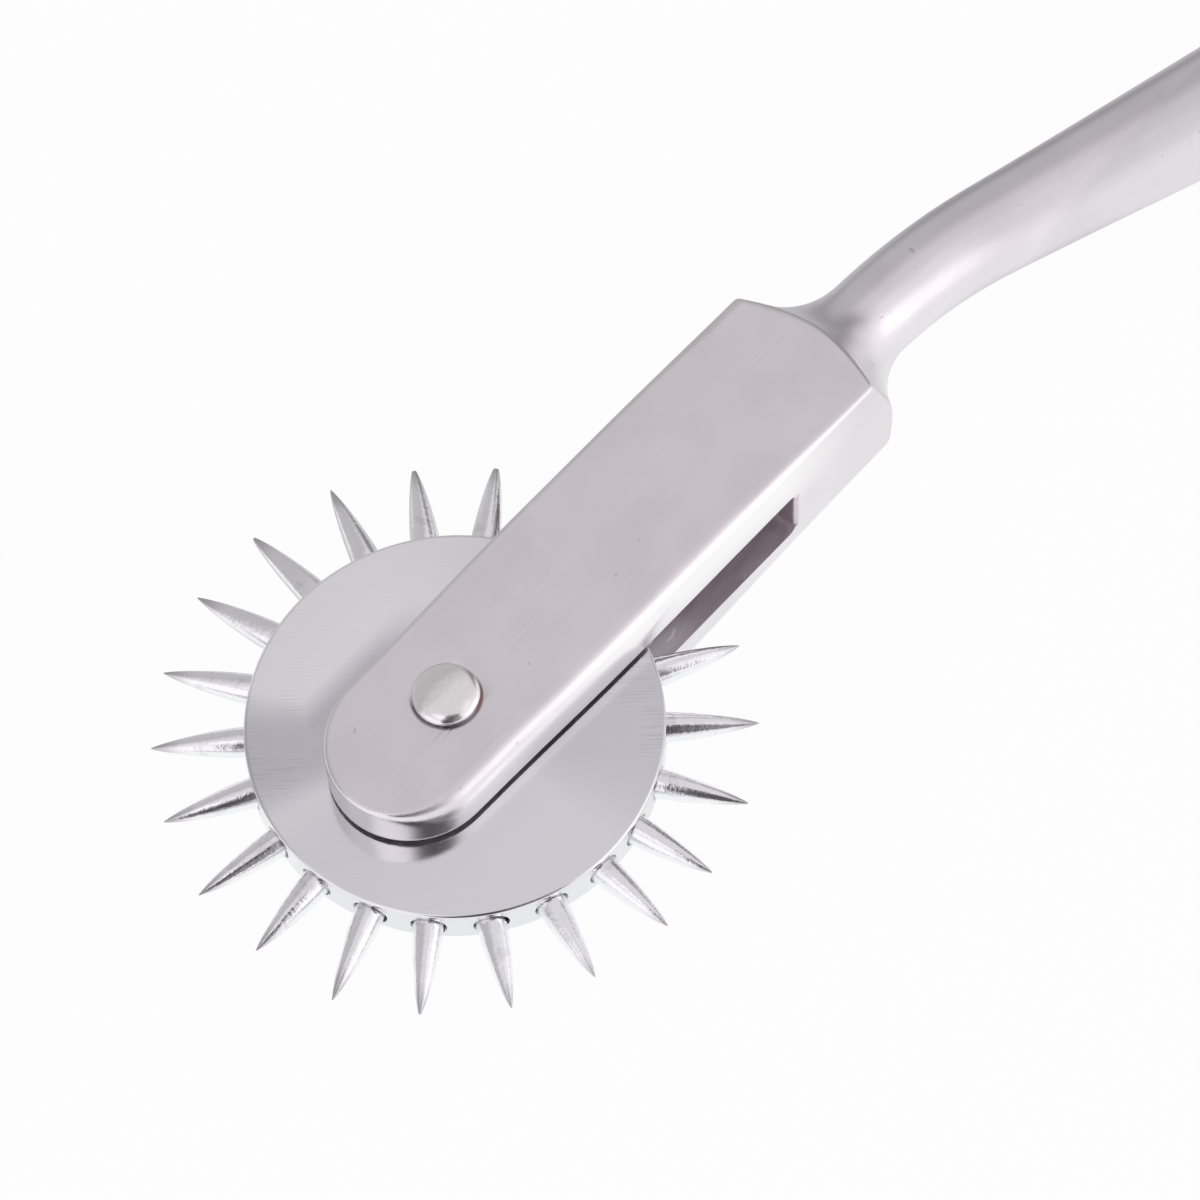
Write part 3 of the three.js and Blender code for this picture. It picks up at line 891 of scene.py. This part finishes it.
def pin_place(index):
    """The place of one pin: its root at the rim, its length along the pin's own Z."""
    even = FIRST_PIN_ANGLE + 360 * index / PIN_COUNT
    root_angle = math.radians(even + PIN_ROOT_SLIPS[index])
    tip_angle = math.radians(even + PIN_TIP_SLIPS[index])
    root = DISC_RADIUS * Vector((math.cos(root_angle), math.sin(root_angle), 0))
    reach = DISC_RADIUS + PIN_REACH
    tip = reach * Vector((math.cos(tip_angle), math.sin(tip_angle), 0))
    turn = (tip - root).to_track_quat("Z", "Y").to_matrix().to_4x4()
    return Matrix.Translation(root) @ turn


def pin_drills():
    """The drills for all the pins' holes, each with its countersink at the rim."""
    bm = bmesh.new()
    bore = PIN_RADIUS + HOLE_ROOM
    profile = [(0, -PIN_SEAT - OVERRUN / 10), (bore, -PIN_SEAT - OVERRUN / 10),
               (bore, -SINK_DEPTH), (bore + SINK_LIP, 0), (bore + SINK_LIP, OVERRUN),
               (0, OVERRUN)]
    for index in range(PIN_COUNT):
        drill = turned(profile, PIN_SIDES)
        bmesh.ops.transform(drill, matrix=pin_place(index), verts=drill.verts)
        mesh = bpy.data.meshes.new("drill")
        drill.to_mesh(mesh)
        drill.free()
        bm.from_mesh(mesh)
        bpy.data.meshes.remove(mesh)
    return bm


def make_disc(polished, bored):
    """The wheel's disc, with rounded edges and the pins' drilled holes."""
    half = DISC_THICKNESS / 2
    rim = DISC_RADIUS - DISC_EDGE
    side = half - DISC_EDGE
    profile = [(DISC_BORE, -half), (DISC_RADIUS / 2, -half)]
    profile += quarter_arc((rim, -side), DISC_EDGE, -90, 5)
    profile += quarter_arc((rim, side), DISC_EDGE, 0, 5)
    profile += [(DISC_RADIUS / 2, half), (DISC_BORE, half), (DISC_BORE, -half)]
    plate = turned(profile, DISC_SIDES)
    disc = carved(plate, pin_drills(), [polished, bored], SLOT_EDGE / 4)
    add_piece("drilled_disc", disc, "wheel", [polished, bored], ["wheel_disc"])


def make_pin(index, steel):
    """A plain shank in its hole, and outside it a point with bellied, hand-ground sides."""
    reach = PIN_REACH + PIN_REACH_SLIPS[index]
    tip = BLUNT_PINS.get(index, PIN_TIP_RADIUS)
    profile = [(0, -PIN_SEAT), (PIN_RADIUS, -PIN_SEAT), (PIN_RADIUS, -SINK_DEPTH)]
    for i in range(PIN_RINGS + 1):
        share = i / PIN_RINGS
        power = PIN_TAPER_POWER + PIN_TIP_FULLNESS * share ** 2
        radius = tip + (PIN_RADIUS - tip) * (1 - share ** power)
        profile.append((radius, reach * share))
    profile.append((0, reach + tip / 4))
    pin = turned(profile, PIN_SIDES)
    for vert in pin.verts:
        if vert.co.z > 0 and vert.co.xy.length > tip:
            spot = Vector((vert.co.x * GRINDING_ACROSS, vert.co.y * GRINDING_ACROSS,
                           vert.co.z * GRINDING_ALONG + GRINDING_SHIFT * index))
            ground = noise.noise(spot) * PIN_GRINDING * min(vert.co.z / PIN_RADIUS, 1)
            vert.co += Vector((vert.co.x, vert.co.y, 0)).normalized() * ground
    bmesh.ops.transform(pin, matrix=pin_place(index), verts=pin.verts)
    number = f"{index + 1:02d}"
    add_piece(f"ground_pin_{number}", pin, "wheel", [steel], [f"pin_{number}"])


# Studio

def tent_glow(s):
    """The colour of the light tent's cloth: bright on the right side and dimmer on the left,
    with brighter lamps behind it and the dark of its opening round the lens."""
    direction = s.vector("NORMALIZE", s.place).outputs[0]
    across = s.add("ShaderNodeSeparateXYZ", Vector=direction).outputs["Y"]
    ramp = s.add("ShaderNodeValToRGB", Fac=s.math("MULTIPLY_ADD", across, -0.5, 0.5))
    stops = ramp.color_ramp.elements
    stops[0].position = TENT_LEVELS[0][0]
    stops[1].position = TENT_LEVELS[-1][0]
    for position, level in TENT_LEVELS[1:-1]:
        stops.new(position)
    for stop, (position, level) in zip(stops, TENT_LEVELS):
        stop.color = (level, level * 0.97, level, 1)
    colour = ramp.outputs["Color"]
    for aim, edge, core, share, level in TENT_SPOTS:
        near = s.vector("DOT_PRODUCT", direction, Vector(aim).normalized()).outputs["Value"]
        spot = s.math("MULTIPLY", s.ramp(near, edge, core), share)
        colour = s.mix(spot, colour, (level, level * 0.95, level, 1))
    return colour


def make_tent():
    """The tent lights the scene and is mirrored in the metal, but the camera looks past it."""
    s = Shader("tent_cloth")
    glow = s.add("ShaderNodeEmission", Color=tent_glow(s), Strength=1.0)
    s.put(s.output.inputs["Surface"], glow.outputs["Emission"])
    bm = bmesh.new()
    bmesh.ops.create_uvsphere(bm, u_segments=64, v_segments=32, radius=TENT_RADIUS)
    tent = mesh_object("light_tent", bm, [s.material])
    tent.visible_camera = False
    tent.visible_shadow = False


def floor_shade(s):
    """The shade behind and left of the fork. Beyond the shoulder it swings to the right."""
    away = s.from_centre()
    beyond = s.math("MAXIMUM", s.math("SUBTRACT", away["X"], SHADE_SWING_FROM), 0)
    beyond = s.math("MINIMUM", beyond, SHADE_SWING_LENGTH)
    left = s.math("MULTIPLY_ADD", beyond, SHADE_SWING, away["Y"])
    shade = s.math("MULTIPLY", s.ramp(left, *SHADE_ACROSS), s.ramp(away["X"], *SHADE_ALONG))
    deep = s.math("MULTIPLY", s.ramp(away["X"], *DEEP_SHADE_ALONG),
                  s.ramp(away["Y"], *DEEP_SHADE_ACROSS))
    return s.math("MULTIPLY_ADD", s.math("MULTIPLY", shade, deep), SHADE_DEEPENING, shade)


def make_floor():
    """A pale table top. The camera and reflections see it near white, less the shadows."""
    s = Shader("pale_floor")
    diffuse = s.add("ShaderNodeBsdfDiffuse", Color=(0.9, 0.9, 0.9, 1))
    path = s.add("ShaderNodeLightPath").outputs
    shade = s.math("MULTIPLY", floor_shade(s), path["Is Glossy Ray"])
    glow = s.add("ShaderNodeEmission", Strength=1.0,
                 Color=s.over((1, 1, 1, 1), grey(0.1), shade, FLOOR_SHADE))
    seen = s.math("MAXIMUM", path["Is Camera Ray"], path["Is Glossy Ray"])
    seen = s.math("MAXIMUM", seen, path["Is Transmission Ray"])
    both = s.add("ShaderNodeMixShader", Fac=s.math("MULTIPLY", seen, FLOOR_GLOW))
    s.put(both.inputs[1], diffuse.outputs["BSDF"])
    s.put(both.inputs[2], glow.outputs["Emission"])
    s.put(s.output.inputs["Surface"], both.outputs["Shader"])
    bm = bmesh.new()
    bmesh.ops.create_circle(bm, cap_ends=True, segments=96, radius=FLOOR_RADIUS)
    floor = mesh_object("floor", bm, [s.material])


def make_lamp():
    """A soft rectangular lamp on the right that faces the wheel's centre."""
    width, depth = LAMP_SIZE
    light = bpy.data.lights.new("right_softbox", "AREA")
    light.shape = "RECTANGLE"
    light.size = width
    light.size_y = depth
    light.energy = LAMP_LEVEL * math.pi * width * depth
    lamp = new_object("right_softbox", light)
    direction = LAMP_DIRECTION.normalized()
    lamp.location = WHEEL_CENTRE + direction * LAMP_DISTANCE
    lamp.rotation_mode = "QUATERNION"
    lamp.rotation_quaternion = (-direction).to_track_quat("-Z", "Y")


def make_camera():
    """The camera that took the photo, as solved from the pins' tips, the disc and the fork."""
    data = bpy.data.cameras.new("camera")
    data.lens = CAMERA_LENS
    data.sensor_width = CAMERA_SENSOR
    data.clip_start, data.clip_end = CAMERA_CLIP
    camera = new_object("camera", data)
    camera.location = WHEEL_CENTRE + CAMERA_OFFSET
    look = (CAMERA_AIM - CAMERA_OFFSET).to_track_quat("-Z", "Y")
    camera.rotation_mode = "QUATERNION"
    camera.rotation_quaternion = look @ Quaternion((0, 0, 1), math.radians(CAMERA_ROLL))
    bpy.context.scene.camera = camera


def make_world():
    """An even white world round the tent."""
    world = bpy.data.worlds.new("studio")
    world.use_nodes = True
    world.node_tree.nodes["Background"].inputs["Color"].default_value = (1, 1, 1, 1)
    world.node_tree.nodes["Background"].inputs["Strength"].default_value = 1.0
    bpy.context.scene.world = world


make_camera()
make_world()
make_floor()
make_tent()
make_lamp()

fork_satin = satin_steel("fork_satin", 0, True)
handle_satin = satin_steel("handle_satin", -BEND_SWEEP, False)
milled = milled_steel()
polished = polished_steel()
bored = bored_steel()
pins_bright = pin_steel()

make_fork(fork_satin, milled)
make_shell(handle_satin)
make_plug(handle_satin)
make_rivet(rivet_steel())
make_washers(turned_steel())
make_disc(polished, bored)
for pin_index in range(PIN_COUNT):
    make_pin(pin_index, pins_bright)

bpy.context.scene.view_settings.view_transform = "Standard"
